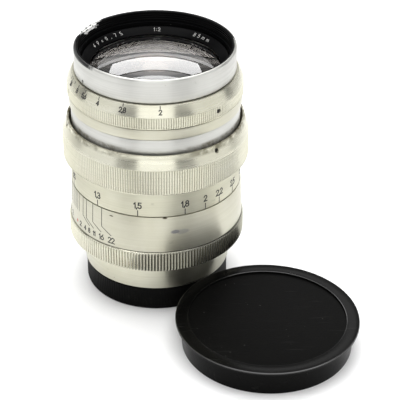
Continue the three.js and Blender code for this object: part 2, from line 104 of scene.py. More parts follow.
# Soft boxes: place and the point they face, in metres, then width, height and radiance.
SOFT_BOXES = {
    "overhead_soft_box": ((0.0, 0.19, 1.15), (0.0, 0.19, 0.0), 1.15, 1.14, 3.4),
    "overhead_soft_box_far": ((0.0, 1.33, 1.15), (0.0, 1.33, 0.0), 1.15, 0.74, 3.4),
    "ceiling": ((0.0, 0.0, 1.7), (0.0, 0.0, 0.0), 2.8, 2.8, 0.7),
    "front_soft_box": ((0.0, -1.2, 0.62), (0.0, 0.0, 0.08), 1.05, 1.0, 1.55),
    "left_soft_box": ((-1.2, -0.35, 0.55), (0.0, 0.0, 0.06), 1.3, 1.0, 0.9),
    "right_soft_box": ((1.2, -0.35, 0.55), (0.0, 0.0, 0.06), 1.3, 1.0, 0.9),
    "back_panel_low": ((0.0, 1.75, 0.40), (0.0, 0.0, 0.40), 2.4, 0.7, 0.05),
    "back_panel_middle": ((0.0, 1.75, 0.85), (0.0, 0.0, 0.85), 2.4, 0.2, 0.30),
    "back_panel_high": ((0.0, 1.75, 1.03), (0.0, 0.0, 1.03), 2.4, 0.16, 1.1),
    "back_left_panel": ((-1.15, 0.95, 0.55), (0.0, 0.0, 0.08), 0.9, 0.9, 0.5),
    "back_right_panel": ((1.15, 0.95, 0.55), (0.0, 0.0, 0.08), 0.9, 0.9, 0.5),
}
for light_name, (light_place, target, width, height, radiance) in SOFT_BOXES.items():
    light_data = bpy.data.lights.new(light_name, "AREA")
    light_data.shape = "RECTANGLE"
    light_data.size = width
    light_data.size_y = height
    light_data.energy = radiance * math.pi * width * height
    light = bpy.data.objects.new(light_name, light_data)
    facing = (Vector(target) - Vector(light_place)).to_track_quat("-Z", "Y").to_matrix().to_4x4()
    light.matrix_world = Matrix.Translation(light_place) @ facing
    show(light)

# ---- Node material helpers ----


def set_input(socket, value):
    """Link a socket to an input, or give it a value. A colour may be given as three numbers."""
    if isinstance(value, bpy.types.NodeSocket):
        socket.id_data.links.new(value, socket)
    elif socket.type == "RGBA" and len(value) == 3:
        socket.default_value = (*value, 1.0)
    else:
        socket.default_value = value


def add(tree, kind, inputs=(), **settings):
    """A shader node with its settings, its inputs set to values or linked to sockets."""
    node = tree.nodes.new(kind)
    for key, value in settings.items():
        setattr(node, key, value)
    for key, value in dict(inputs).items():
        set_input(node.inputs[key], value)
    return node


def fed(kind, inputs, **settings):
    """A shader node in the tree of the sockets that feed it."""
    tree = next(value.id_data for value in inputs.values() if isinstance(value, bpy.types.NodeSocket))
    return add(tree, kind, inputs, **settings)


def math_node(operation, first, second=0.0, clamp=False):
    return fed("ShaderNodeMath", {0: first, 1: second}, operation=operation, use_clamp=clamp).outputs[0]


def plus(first, second, clamp=False):
    return math_node("ADD", first, second, clamp)


def minus(first, second, clamp=False):
    return math_node("SUBTRACT", first, second, clamp)


def times(first, second, clamp=False):
    return math_node("MULTIPLY", first, second, clamp)


def larger(first, second):
    return math_node("MAXIMUM", first, second)


def mix_colour(factor, first, second):
    """first where the factor is 0, second where it is 1."""
    return fed("ShaderNodeMix", {0: factor, 6: first, 7: second}, data_type="RGBA").outputs[2]


def mix_value(factor, first, second):
    """first where the factor is 0, second where it is 1."""
    return plus(first, times(factor, minus(second, first)))


def ramp(value, start, end, low=0.0, high=1.0):
    """Value from start to end becomes low to high, held level outside."""
    return fed("ShaderNodeMapRange", {
        "Value": value, "From Min": start, "From Max": end, "To Min": low, "To Max": high,
    }, clamp=True).outputs[0]


def noise(vector, scale, detail=2.0, roughness=0.5):
    return fed("ShaderNodeTexNoise",
               {"Vector": vector, "Scale": scale, "Detail": detail, "Roughness": roughness}).outputs[0]


def object_place(shader):
    return add(shader.id_data, "ShaderNodeTexCoord").outputs["Object"]


def specks(place, scale, patches, start, end, largest):
    """1 on scattered dots, up to a largest size, where a noise of patches lies over start to end."""
    dots = fed("ShaderNodeTexVoronoi", {"Vector": place, "Scale": scale})
    size = ramp(patches, start, end, 0.0, largest)
    return math_node("LESS_THAN", dots.outputs["Distance"], size)


def new_material(name, **sockets):
    """A principled material with even values set on its own sockets. Returns it with its shader."""
    material = bpy.data.materials.new(name)
    material.use_nodes = True
    shader = material.node_tree.nodes["Principled BSDF"]
    for key, value in sockets.items():
        shader.inputs[key.replace("_", " ")].default_value = value
    return material, shader


def connect(shader, **sockets):
    for key, value in sockets.items():
        set_input(shader.inputs[key.replace("_", " ")], value)


def bump(height, strength, distance):
    """distance is in millimetres."""
    return fed("ShaderNodeBump",
               {"Height": height, "Strength": strength, "Distance": distance * MM}).outputs[0]


def turned_coordinates(shader, around, along):
    """The place, its parts and its radius, and a vector that runs in rings about the lens axis.

    Noise on that vector looks like turning marks."""
    place = object_place(shader)
    parts = fed("ShaderNodeSeparateXYZ", {0: place})
    x, y, z = parts.outputs
    radius = math_node("SQRT", plus(times(x, x), times(y, y)))
    rings = fed("ShaderNodeCombineXYZ", {
        0: times(x, around),
        1: times(y, around),
        2: times(plus(z, radius), along),
    }).outputs[0]
    return place, parts, radius, rings


def toward(parts, bearing, radius):
    """How far a point at a radius, in millimetres, faces a bearing: 1 straight at it, 0 square to it."""
    angle = math.radians(bearing - 90.0)
    return plus(times(parts.outputs[0], math.cos(angle) / (radius * MM)),
                times(parts.outputs[1], math.sin(angle) / (radius * MM)))


def between(parts, low, low_end, high_end, high):
    """1 between two heights in millimetres, falling to 0 from low_end to low and from high_end to high."""
    return times(ramp(parts.outputs[2], low * MM, low_end * MM),
                 ramp(parts.outputs[2], high * MM, high_end * MM))


# ---- Metals ----

CHAMPAGNE = ((0.59, 0.58, 0.49), (0.52, 0.505, 0.40))  # each metal's tint and its shade
SILVER = ((0.62, 0.62, 0.59), (0.54, 0.54, 0.51))
KNURL_TINTS = ((0.70, 0.69, 0.585), (0.62, 0.605, 0.485))
SKIRT_TINTS = ((0.70, 0.69, 0.57), (0.62, 0.605, 0.475))
FLANGE_TINTS = ((0.64, 0.63, 0.53), (0.57, 0.555, 0.44))
BRASS = ((0.72, 0.52, 0.24), (0.60, 0.42, 0.18))
# Screw steel: near black for a blackened finish, and darker still as painted shade of the holes the grub
# screws sit in.
STEEL = ((0.045, 0.042, 0.038), (0.025, 0.023, 0.02))
BLADE_STEEL = ((0.055, 0.055, 0.06), (0.035, 0.035, 0.04))
PIT = (0.16, 0.14, 0.10)
# Knurl valleys: partly real dirt, partly painted shade of the deep valleys.
VALLEY_DIRT_AND_SHADE = (0.10, 0.09, 0.055)
# Painted reflection: the dark colour laid down one side of the grip ring and the flange, facing the bearing
# set below.
PAINTED_DARK_REFLECTION = (0.10, 0.10, 0.085)
GROOVE_GRIME = (0.075, 0.060, 0.018)
PAINTED_REFLECTION_BEARING = 42.0
FLANGE_SIDE_RADIUS = 24.5


def turned_metal(name, tints, roughness, relief=0.35, bands=0.0):
    """Lathe-turned metal: rings of finer and coarser finish, a faint patina, and a few small pits.

    A quarter turn of the grain draws highlights out along the axis, across the turning marks.
    Returns the material with the parts of it that its variants build on."""
    tint, shade = tints
    streak = 0.12  # how much the roughness varies from ring to ring
    material, shader = new_material(name, Metallic=1.0, Anisotropic=0.88, Anisotropic_Rotation=0.25)
    place, parts, radius, rings = turned_coordinates(shader, 30.0, 2600.0)
    broad_rings = turned_coordinates(shader, 45.0, 500.0)[3]
    fine = noise(rings, 1.0, 3.0, 0.6)
    broad = noise(broad_rings, 1.0, 2.0)
    patina = noise(place, 55.0, 4.0, 0.6)
    grain = noise(place, 2600.0, 2.0)
    colour = mix_colour(ramp(patina, 0.35, 0.68), tint, shade)
    colour = mix_colour(ramp(fine, 0.3, 0.7, 0.0, 0.5 + bands), colour,
                        tuple(0.90 * c for c in shade))
    pits = specks(place, 420.0, noise(place, 160.0, 1.0), 0.56, 0.80, 0.16)
    colour = mix_colour(times(pits, 0.55), colour, PIT)
    stain = ramp(noise(place, 110.0, 6.0, 0.72), 0.645, 0.70, 0.0, 0.45)
    colour = mix_colour(stain, colour, tuple(0.55 * c for c in shade))
    rough = plus(roughness - streak / 2, times(fine, streak))
    rough = plus(rough, times(broad, bands), True)
    surface = plus(fine, times(grain, 0.35))
    tangent = add(shader.id_data, "ShaderNodeTangent", direction_type="RADIAL", axis="Z").outputs[0]
    connect(shader, Base_Color=colour, Roughness=rough, Tangent=tangent,
            Normal=bump(surface, relief, 0.02))
    return SimpleNamespace(material=material, shader=shader, place=place, parts=parts, radius=radius,
                           colour=colour, rough=rough)


def knurl_dirt_and_shade(metal, low, high, crest, depth, darkness):
    """How much dirt and painted shade darken each point of a knurl between two heights: only its valleys are
    darkened.
    """
    in_height = between(metal.parts, low - 0.05, low + 0.05, high - 0.05, high + 0.05)
    in_valley = ramp(metal.radius, (crest - 0.35 * depth) * MM, (crest - 0.95 * depth) * MM)
    return times(times(in_height, in_valley), darkness)


def with_painted_reflection(metal, radius, amount):
    """The metal's colour, gone darker down one side: a painted reflection of the dark cap, fixed to the
    metal.
    """
    side = ramp(toward(metal.parts, PAINTED_REFLECTION_BEARING, radius), 0.55, 0.95)
    return mix_colour(times(side, amount), metal.colour, PAINTED_DARK_REFLECTION)


def knurled_metal(name, roughness, low, high, crest, depth, darkness, painted_reflection=0.0):
    """Satin turned metal with a knurled band whose valleys are darkened by dirt and painted shade, here and
    there more than elsewhere.
    """
    metal = turned_metal(name, KNURL_TINTS, roughness)
    colour = with_painted_reflection(metal, crest, painted_reflection) if painted_reflection > 0.0 else metal.colour
    patches = ramp(noise(metal.place, 300.0, 4.0, 0.7), 0.3, 0.65, 0.55, 1.0)
    dirt = knurl_dirt_and_shade(metal, low, high, crest, depth, times(patches, darkness))
    connect(metal.shader, Base_Color=mix_colour(dirt, colour, VALLEY_DIRT_AND_SHADE),
            Roughness=plus(metal.rough, times(dirt, 0.3), True))
    return metal.material


def grimy_metal(name, tints, roughness, low, high, inner, amount, knurl=()):
    """Turned metal with brown grime settled between two heights, out to some radius, only at the sides.

    knurl gives the values for the dirt and painted shade in the knurl's valleys, where there is a knurled
    band as well."""
    metal = turned_metal(name, tints, roughness)
    in_groove = times(between(metal.parts, low, low + 0.5, high - 0.9, high),
                      ramp(metal.radius, (inner + 0.5) * MM, inner * MM))
    patches = ramp(noise(metal.place, 260.0, 5.0, 0.7), 0.36, 0.62)
    sideways = ramp(math_node("ABSOLUTE", metal.parts.outputs[0]), 4.0 * MM, 15.0 * MM)
    dirt = times(times(in_groove, patches), times(sideways, amount), True)
    colour = mix_colour(dirt, metal.colour, GROOVE_GRIME)
    rough = plus(metal.rough, times(dirt, 0.45), True)
    if knurl:
        # The knurl's valleys are darkened by dirt and painted shade.
        valley = knurl_dirt_and_shade(metal, *knurl)
        colour = mix_colour(valley, colour, VALLEY_DIRT_AND_SHADE)
        rough = plus(rough, times(valley, 0.3), True)
    connect(metal.shader, Base_Color=colour, Roughness=rough, Metallic=minus(1.0, dirt, True))
    return metal.material


def blot(metal, ragged, bearing, radius, height, wide, tall):
    """A soft-edged mark on the metal: 1 at its middle, 0 outside it, with a ragged outline."""
    angle = math.radians(bearing - 90.0)
    centre = (radius * math.cos(angle) * MM, radius * math.sin(angle) * MM, height * MM)
    stretch = (1 / (wide * MM), 1 / (wide * MM), 1 / (tall * MM))
    offset = fed("ShaderNodeVectorMath", {0: metal.place, 1: centre}, operation="SUBTRACT").outputs[0]
    scaled = fed("ShaderNodeVectorMath", {0: offset, 1: stretch}, operation="MULTIPLY").outputs[0]
    reach = fed("ShaderNodeVectorMath", {0: scaled}, operation="LENGTH").outputs["Value"]
    return ramp(plus(reach, ragged), 1.15, 0.75)


def marked_metal():
    """The satin barrel with a greasy grey smudge and two nicks at its top edge."""
    metal = turned_metal("satin_aluminium_marked", CHAMPAGNE, 0.34)
    ragged = minus(noise(metal.place, 700.0, 4.0, 0.7), 0.5)
    smudge = times(blot(metal, ragged, 12.2, 28.0, 32.6, wide=1.5, tall=0.75), 0.75)
    smear = times(blot(metal, ragged, 16.5, 28.0, 32.4, wide=2.6, tall=0.85), 0.40)
    nicks = larger(blot(metal, ragged, 5.4, 27.8, 37.9, wide=0.75, tall=0.30),
                   blot(metal, ragged, -31.0, 27.8, 36.6, wide=0.8, tall=0.22))
    colour = mix_colour(larger(smudge, smear), metal.colour, (0.20, 0.20, 0.235))
    colour = mix_colour(times(nicks, 0.9), colour, (0.05, 0.035, 0.015))
    rough = plus(metal.rough, times(larger(smudge, nicks), 0.25), True)
    connect(metal.shader, Base_Color=colour, Roughness=rough)
    return metal.material


def polished_flange():
    """The smoother turned metal of the mount flange, with a painted reflection of the dark cap darkening one
    side.
    """
    metal = turned_metal("satin_aluminium_polished", FLANGE_TINTS, 0.30, relief=0.05)
    connect(metal.shader, Base_Color=with_painted_reflection(metal, FLANGE_SIDE_RADIUS, 0.55))
    return metal.material


def black_anodised():
    """Dull black anodised metal with turning marks."""
    material, shader = new_material("black_anodised_metal", Specular_IOR_Level=0.012)
    fine = noise(turned_coordinates(shader, 30.0, 1800.0)[3], 1.0, 3.0)
    colour = mix_colour(fine, (0.004, 0.0025, 0.0022), (0.009, 0.0055, 0.004))
    connect(shader, Base_Color=colour, Roughness=ramp(fine, 0.3, 0.7, 0.42, 0.62),
            Normal=bump(fine, 0.4, 0.02))
    return material


# ---- Paint of the front rim ----

RIM_RADIUS = 25.4
PAINT_BEARING, CHIP_BEARING, RUBBED_GLINT_BEARING = -157.0, -120.0, 150.0
PAINT_START, PAINT_FULL = 84.02, 84.10  # heights
CHIP_LOW, CHIP_FULL, CHIP_RAGGED = 84.5, 84.6, 2.0  # the noise brings the chips down by up to the last
EDGE_START, EDGE_FULL = 25.15, 25.35  # radii of the rim's outer edge


def rim_noise(place):
    return noise(place, 520.0, 4.0, 0.65)


def chipped(place, parts):
    """1 where the black paint has come off the rim, in ragged patches about one bearing."""
    worn = ramp(toward(parts, CHIP_BEARING, RIM_RADIUS), 0.90, 0.955)
    return math_node("GREATER_THAN", rim_noise(place), ramp(worn, 0.0, 1.0, 0.95, 0.42))


def black_lacquer():
    """Black paint over metal, with fine turning marks, dust, and chips at the rim. The chips are flat white,
    a painted glint standing in for bare metal.
    """
    material, shader = new_material("black_lacquer", Specular_IOR_Level=0.03)
    place, parts, _, rings = turned_coordinates(shader, 30.0, 1500.0)
    fine = noise(rings, 1.0, 2.0)
    dust = specks(place, 620.0, noise(place, 240.0, 1.0), 0.60, 0.85, 0.20)
    colour = mix_colour(fine, (0.0014, 0.0014, 0.0016), (0.0034, 0.0034, 0.0036))
    colour = mix_colour(times(dust, 0.25), colour, (0.35, 0.34, 0.32))
    ragged_height = plus(parts.outputs[2], times(noise(place, 300.0, 3.0), CHIP_RAGGED * MM))
    lip = ramp(ragged_height, CHIP_LOW * MM, CHIP_FULL * MM)
    bare = times(chipped(place, parts), lip)
    # The chips are coloured flat white: a painted glint of bare metal.
    colour = mix_colour(bare, colour, (0.90, 0.90, 0.88))
    connect(shader, Base_Color=colour, Roughness=plus(0.22, times(fine, 0.16)),
            Normal=bump(fine, 0.3, 0.02))
    return material


def painted_rim_metal():
    """Bright turned barrel whose top edge is black at the back, with the paint chipped off in places. The
    chips and a rubbed line along the outer edge are flat white: a painted glint standing in for bare metal.
    """
    metal = turned_metal("bright_aluminium_black_edge", SILVER, 0.33, bands=0.10)
    place, parts = metal.place, metal.parts
    ragged = rim_noise(place)
    fringe = times(minus(ragged, 0.5), 0.25)
    on_top = ramp(parts.outputs[2], PAINT_START * MM, PAINT_FULL * MM)
    behind = plus(toward(parts, PAINT_BEARING, RIM_RADIUS), fringe)
    painted = times(on_top, ramp(behind, -0.34, -0.24))
    outer_edge = ramp(metal.radius, EDGE_START * MM, EDGE_FULL * MM)
    chip = chipped(place, parts)
    # Where the paint is rubbed off along the outer edge: real wear of the paint, shown below as a painted
    # glint.
    rubbed_glint = ramp(toward(parts, RUBBED_GLINT_BEARING, RIM_RADIUS), 0.80, 0.95)
    line = math_node("GREATER_THAN", times(outer_edge, rubbed_glint), ramp(ragged, 0.3, 0.7, 0.9, 0.3))
    nick = math_node("GREATER_THAN", times(ragged, outer_edge), 0.70)
    bare = larger(chip, larger(line, nick))
    paint = times(painted, minus(1.0, bare), True)
    # Chips and the rubbed line are coloured flat white, a painted glint of bare metal.
    painted_glint = times(painted, larger(chip, line), True)
    colour = mix_colour(paint, metal.colour, (0.004, 0.004, 0.0042))
    colour = mix_colour(painted_glint, colour, (0.74, 0.74, 0.72))
    connect(metal.shader, Base_Color=colour, Roughness=mix_value(paint, metal.rough, 0.32),
            Metallic=minus(1.0, larger(paint, painted_glint), True))
    return metal.material


# ---- Plastic, glass and engraving paint ----


def black_plastic(name, roughness, gloss, grain_size, grain_depth, dust_amount=0.06):
    """Moulded black plastic: fine grain, dust and a few scuffs."""
    material, shader = new_material(name, Specular_IOR_Level=gloss)
    place = object_place(shader)
    grain = noise(place, grain_size, 3.0, 0.6)
    cloud = noise(place, 45.0, 4.0, 0.6)
    dust = specks(place, 560.0, noise(place, 210.0, 2.0), 0.50, 0.85, 0.26)
    drawn_out = fed("ShaderNodeMapping", {"Vector": place, "Scale": (90.0, 1500.0, 400.0)}).outputs[0]
    scuff = ramp(noise(drawn_out, 1.0, 2.0), 0.66, 0.78)
    colour = mix_colour(cloud, (0.0012, 0.0012, 0.0011), (0.0034, 0.0034, 0.0032))
    colour = mix_colour(times(dust, dust_amount), colour, (0.30, 0.30, 0.27))
    colour = mix_colour(times(scuff, 0.06), colour, (0.16, 0.16, 0.15))
    connect(shader, Base_Color=colour, Roughness=plus(roughness - 0.06, times(cloud, 0.14)),
            Normal=bump(grain, grain_depth, 0.05))
    return material


def coated_glass(name, tint, **coating):
    """Optical glass with a little dust and haze, and a hard coating where it has one."""
    material, shader = new_material(
        name, Base_Color=(*tint, 1.0), Roughness=0.0, IOR=1.5, Transmission_Weight=1.0, **coating)
    place = object_place(shader)
    dust = specks(place, 380.0, noise(place, 150.0, 2.0), 0.60, 0.85, 0.08)
    haze = ramp(noise(place, 90.0, 3.0), 0.5, 0.8, 0.0, 0.008)
    connect(shader, Roughness=plus(haze, times(dust, 0.4)))
    return material


def engraving(name, colour):
    """Paint in the cut marks, a little uneven where it has worn."""
    material, shader = new_material(name, IOR=1.45)
    wear = noise(object_place(shader), 1400.0, 3.0, 0.6)
    paint = mix_colour(ramp(wear, 0.35, 0.75, 0.0, 0.5), colour,
                       tuple(0.6 * c + 0.03 for c in colour))
    connect(shader, Base_Color=paint, Roughness=ramp(wear, 0.3, 0.7, 0.45, 0.65),
            Normal=bump(wear, 0.3, 0.02))
    return material


satin = turned_metal("satin_aluminium_turned", CHAMPAGNE, 0.34).material
marked = marked_metal()
dull = turned_metal("satin_aluminium_dull", SKIRT_TINTS, 0.48).material
brass = turned_metal("turned_brass", BRASS, 0.30).material
steel = turned_metal("dark_steel_screw", STEEL, 0.45).material
blade_steel = turned_metal("blackened_blade_steel", BLADE_STEEL, 0.34).material
polished = polished_flange()
bright = painted_rim_metal()
anodised = black_anodised()
lacquer = black_lacquer()

# Plastics: roughness, gloss, fineness and depth of the grain, and dust where it is not the usual amount.
cap_plastic = black_plastic("black_plastic_smooth", 0.20, 0.05, 1500.0, 0.25)
cap_edge = black_plastic("black_plastic_polished_edge", 0.14, 0.5, 1500.0, 0.1)
cap_grained = black_plastic("black_plastic_grained", 0.44, 0.03, 1300.0, 1.0, 0.12)
rear_plastic = black_plastic("black_plastic_ribbed", 0.40, 0.04, 1700.0, 0.35, 0.03)

front_glass = coated_glass("coated_glass_front", (0.96, 0.91, 0.86), Coat_Weight=1.0, Coat_IOR=1.9,
                           Coat_Roughness=0.0)
inner_glass = coated_glass("coated_glass_inner", (0.86, 0.80, 0.75))
black_ink = engraving("engraving_black", (0.006, 0.006, 0.006))
red_ink = engraving("engraving_red", (0.52, 0.03, 0.02))
white_ink = engraving("engraving_white", (0.62, 0.62, 0.60))

FINISH = {
    "satin_aluminium": satin, "bright_aluminium": bright, "black_paint": lacquer, "black_anodised": anodised,
    "black_plastic": rear_plastic, "brass": brass, "steel": steel, "blade_steel": blade_steel,
    "coated_glass": inner_glass,
}
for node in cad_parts.values():
    for material_slot in node.material_slots:
        material_slot.material = FINISH[material_slot.material.name]

# ---- Shape helpers ----


def ends(node):
    """Lowest height, highest height and outer radius of a ring on the axis, in millimetres."""
    low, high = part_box(node)
    return low.z / MM, high.z / MM, high.x / MM


def face_outwards(mesh):
    shape = bmesh.new()
    shape.from_mesh(mesh)
    bmesh.ops.recalc_face_normals(shape, faces=shape.faces)
    shape.to_mesh(mesh)
    shape.free()


def finish_mesh(name, vertices, faces, materials, material_of=None, smooth=True):
    """A linked object from points in millimetres, with its faces turned outwards and sharp edges kept."""
    mesh = bpy.data.meshes.new(name)
    mesh.from_pydata([tuple(c * MM for c in v) for v in vertices], [], faces)
    for material in materials:
        mesh.materials.append(material)
    if material_of is not None:
        for polygon in mesh.polygons:
            polygon.material_index = material_of(polygon)
    face_outwards(mesh)
    if smooth:
        mesh.shade_smooth()
        mesh.set_sharp_from_angle(angle=SHARP)
    piece = bpy.data.objects.new(name, mesh)
    show(piece)
    return piece


def softened(outline, size):
    """The outline with each corner eased over a size, or left alone where the corner asks for none.

    A corner is (radius, height) or (radius, height, own size)."""
    result = []
    count = len(outline)
    for i, corner in enumerate(outline):
        own = corner[2] if len(corner) > 2 else size
        point = Vector(corner[:2])
        before = Vector(outline[i - 1][:2]) - point
        after = Vector(outline[(i + 1) % count][:2]) - point
        if own <= 0 or point.x == 0 or not before.length or not after.length:
            result.append((point.x, point.y))
            continue
        own = min(own, 0.45 * before.length, 0.45 * after.length)
        first = point + before.normalized() * own
        last = point + after.normalized() * own
        middle = (first + 2 * point + last) / 4
        result += [tuple(first), tuple(middle), tuple(last)]
    return result


def lathe(name, outline, materials, sides=SIDES, rib=None, centre=(0.0, 0.0), material_of=None):
    """A closed body turned about an upright axis from a closed outline of (radius, height) points.

    A third number on a point is how deep the ribs are cut there. rib(i) is how far side i is cut, 0 to 1."""
    vertices, rows = [], []
    for radius, height, *more in outline:
        depth = more[0] if more else 0.0
        start = len(vertices)
        if radius == 0:
            vertices.append((centre[0], centre[1], height))
            rows.append([start] * sides)
            continue
        for i in range(sides):
            angle = 2 * math.pi * i / sides
            reach = radius - (depth * rib(i) if depth else 0.0)
            vertices.append(
                (centre[0] + reach * math.cos(angle), centre[1] + reach * math.sin(angle), height))
        rows.append(list(range(start, start + sides)))
    faces = []
    for k, row in enumerate(rows):
        following = rows[(k + 1) % len(rows)]
        if row[0] == row[-1] and following[0] == following[-1]:
            continue
        for i in range(sides):
            j = (i + 1) % sides
            corners = [row[i], row[j], following[j], following[i]]
            faces.append([c for n, c in enumerate(corners) if c not in corners[:n]])
    return finish_mesh(name, vertices, faces, materials, material_of)


def bored(piece, holes):
    """Round radial holes in a piece: each is (bearing, height, inner radius, outer radius, hole radius)."""
    for bearing, height, near, far, radius in holes:
        outward = direction(bearing)
        cutter_mesh = bpy.data.meshes.new("hole_cutter")
        shape = bmesh.new()
        bmesh.ops.create_cone(shape, cap_ends=True, segments=24, radius1=radius * MM, radius2=radius * MM,
                              depth=(far - near) * MM)
        place = outward * ((near + far) / 2 * MM) + Vector((0, 0, height * MM))
        turn = outward.to_track_quat("Z", "Y").to_matrix().to_4x4()
        shape.transform(Matrix.Translation(place) @ turn)
        shape.to_mesh(cutter_mesh)
        shape.free()
        cut_with(piece, cutter_mesh)
    return piece


def slotted(piece, slots):
    """Square radial slots in a piece: each is (bearing, inner radius, outer radius, width, bottom, top)."""
    for bearing, near, far, width, bottom, top in slots:
        outward = direction(bearing)
        across = Vector((-outward.y, outward.x, 0.0))
        corners = [
            (outward * reach + across * side * width / 2 + Vector((0, 0, height))) * MM
            for height in (bottom, top) for reach, side in ((near, -1), (far, -1), (far, 1), (near, 1))
        ]
        cutter_mesh = bpy.data.meshes.new("slot_cutter")
        cutter_mesh.from_pydata(corners, [], [
            (0, 3, 2, 1), (4, 5, 6, 7), (0, 1, 5, 4), (1, 2, 6, 5), (2, 3, 7, 6), (3, 0, 4, 7)])
        face_outwards(cutter_mesh)
        cut_with(piece, cutter_mesh)
    return piece


def cut_with(piece, cutter_mesh):
    """The piece's mesh with the cutter taken away, as plain mesh data."""
    cutter = bpy.data.objects.new("cutter", cutter_mesh)
    show(cutter)
    modifier = piece.modifiers.new("cut", "BOOLEAN")
    modifier.operation = "DIFFERENCE"
    modifier.solver = "EXACT"
    modifier.object = cutter
    view = bpy.context.evaluated_depsgraph_get()
    result = bpy.data.meshes.new_from_object(piece.evaluated_get(view))
    piece.modifiers.clear()
    old = piece.data
    piece.data = result
    bpy.data.meshes.remove(old)
    bpy.data.objects.remove(cutter)
    bpy.data.meshes.remove(cutter_mesh)


def place_piece(piece, body, finish, *nodes):
    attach(piece, body)
    if nodes:
        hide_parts(*nodes)
    return piece


def turned_piece(name, node, body, finish, outline, material, ribs=0):
    """A turned piece that takes the place of a node on a body, with a knurl of so many ribs if it has one."""
    sides, rib = (4 * ribs, rib_wave) if ribs else (SIDES, None)
    return place_piece(lathe(name, outline, [material], sides, rib), body, finish, node)


def rib_wave(i):
    """Straight knurl of four facets a rib, from the crest down to the valley and up again."""
    return (0.0, 0.55, 1.0, 0.55)[i % 4]


# ---- Glass ----

# Each element: edge radius, top height on the axis, top curve, bottom height, bottom curve. A positive curve
# bulges upwards.
ELEMENTS = {
    "front_element": (20.9, 81.85, 55.0, 75.3, 190.0),
    "second_group_front_lens": (17.9, 74.6, 32.0, 68.0, 120.0),
    "second_group_middle_lens": (17.9, 67.9, 120.0, 65.0, -300.0),
    "second_group_rear_lens": (14.2, 64.9, -300.0, 63.4, 34.0),
    "rear_group_front_lens": (13.6, 49.1, -300.0, 47.3, 22.0),
    "rear_group_middle_lens": (13.6, 47.2, 22.0, 37.5, -24.0),
    "rear_group_rear_lens": (13.6, 37.4, -24.0, 35.5, -70.0),
}
GLASS_RINGS = 20
FACE_UP, EDGE_FACE = 0.5, 0.2  # how far up the normal of an upper face points, and how little an edge's does


def glass_face(edge, height, curve):
    """Points of one spherical face from the axis out to the edge."""
    points = []
    for i in range(GLASS_RINGS + 1):
        radius = edge * i / GLASS_RINGS
        sag = curve - math.copysign(math.sqrt(curve * curve - radius * radius), curve)
        points.append((radius, height - sag))
    return points


def glass_material(element, face):
    """Blackened edges, a hard coating on the front element's upper face, plain coated glass elsewhere."""
    if abs(face.normal.z) < EDGE_FACE:
        return 2
    return int(element == "front_element" and face.normal.z > FACE_UP)


for element, (edge, top, top_curve, bottom, bottom_curve) in ELEMENTS.items():
    outline = glass_face(edge, bottom, bottom_curve) + glass_face(edge, top, top_curve)[::-1]
    glass = lathe(element + "_glass", outline, [inner_glass, front_glass, anodised], GLASS_SIDES,
                  material_of=functools.partial(glass_material, element))
    place_piece(glass, "head", "coated_glass", element)

# ---- Lens head ----

GRUB_HOLE = 0.75

# Black ring inside the front barrel: four turns of filter thread, stepping in to the name ring.
bottom, top, radius = ends("filter_ring")
RIM_THREAD, RIM_STEP, RIM_STEP_RADIUS = 24.1, 81.7, 23.5
THREAD_PITCH, THREAD_DEPTH = 0.75, 0.24
thread = []
height = top - 0.3
while height - THREAD_PITCH > RIM_STEP + 0.2:
    thread += [(RIM_THREAD, height), (RIM_THREAD + THREAD_DEPTH, height - THREAD_PITCH / 2)]
    height -= THREAD_PITCH
rim_outline = [
    (RIM_STEP_RADIUS, bottom), (radius, bottom), (radius, top), (RIM_THREAD + 0.1, top), *thread,
    (RIM_THREAD, height), (RIM_THREAD, RIM_STEP), (RIM_STEP_RADIUS + 0.1, RIM_STEP - 0.05),
    (RIM_STEP_RADIUS, RIM_STEP - 0.15),
]
turned_piece("filter_ring_lacquered", "filter_ring", "head", "black_paint", rim_outline, lacquer)

# Name ring: a flat step, then a cone down to the glass.
bottom, top, radius = ends("name_ring")
NAME_INNER, NAME_CONE_TOP, NAME_EDGE = 20.4, 22.7, 0.4
name_outline = softened([
    (NAME_INNER, bottom, 0.0), (radius, bottom), (radius, top, 0.05), (NAME_CONE_TOP, top, 0.12),
    (NAME_INNER, bottom + NAME_EDGE, 0.06),
], 0.05)
turned_piece("name_ring_lacquered", "name_ring", "head", "black_paint", name_outline, lacquer)

bottom, top, radius = ends("front_barrel")
BARREL_BORE, BARREL_FOOT, BARREL_FOOT_BORE, BARREL_TOP_RADIUS, BARREL_EDGE = 24.8, 0.8, 22.0, 25.2, 0.5
barrel_outline = softened([
    (BARREL_FOOT_BORE, bottom), (radius, bottom, 0.12), (radius, top - BARREL_EDGE, 0.3),
    (BARREL_TOP_RADIUS, top, 0.2), (BARREL_BORE, top), (BARREL_BORE, bottom + BARREL_FOOT, 0.0),
    (BARREL_FOOT_BORE, bottom + BARREL_FOOT),
], 0.05)
turned_piece("front_barrel_turned", "front_barrel", "head", "bright_aluminium", barrel_outline, bright)

bottom, top, radius = ends("head_collar")
COLLAR_BORE = 25.0
collar_outline = softened([
    (COLLAR_BORE, bottom), (radius, bottom, 0.14), (radius, top, 0.3), (COLLAR_BORE, top)], 0.05)
turned_piece("head_collar_turned", "head_collar", "head", "satin_aluminium", collar_outline, satin)

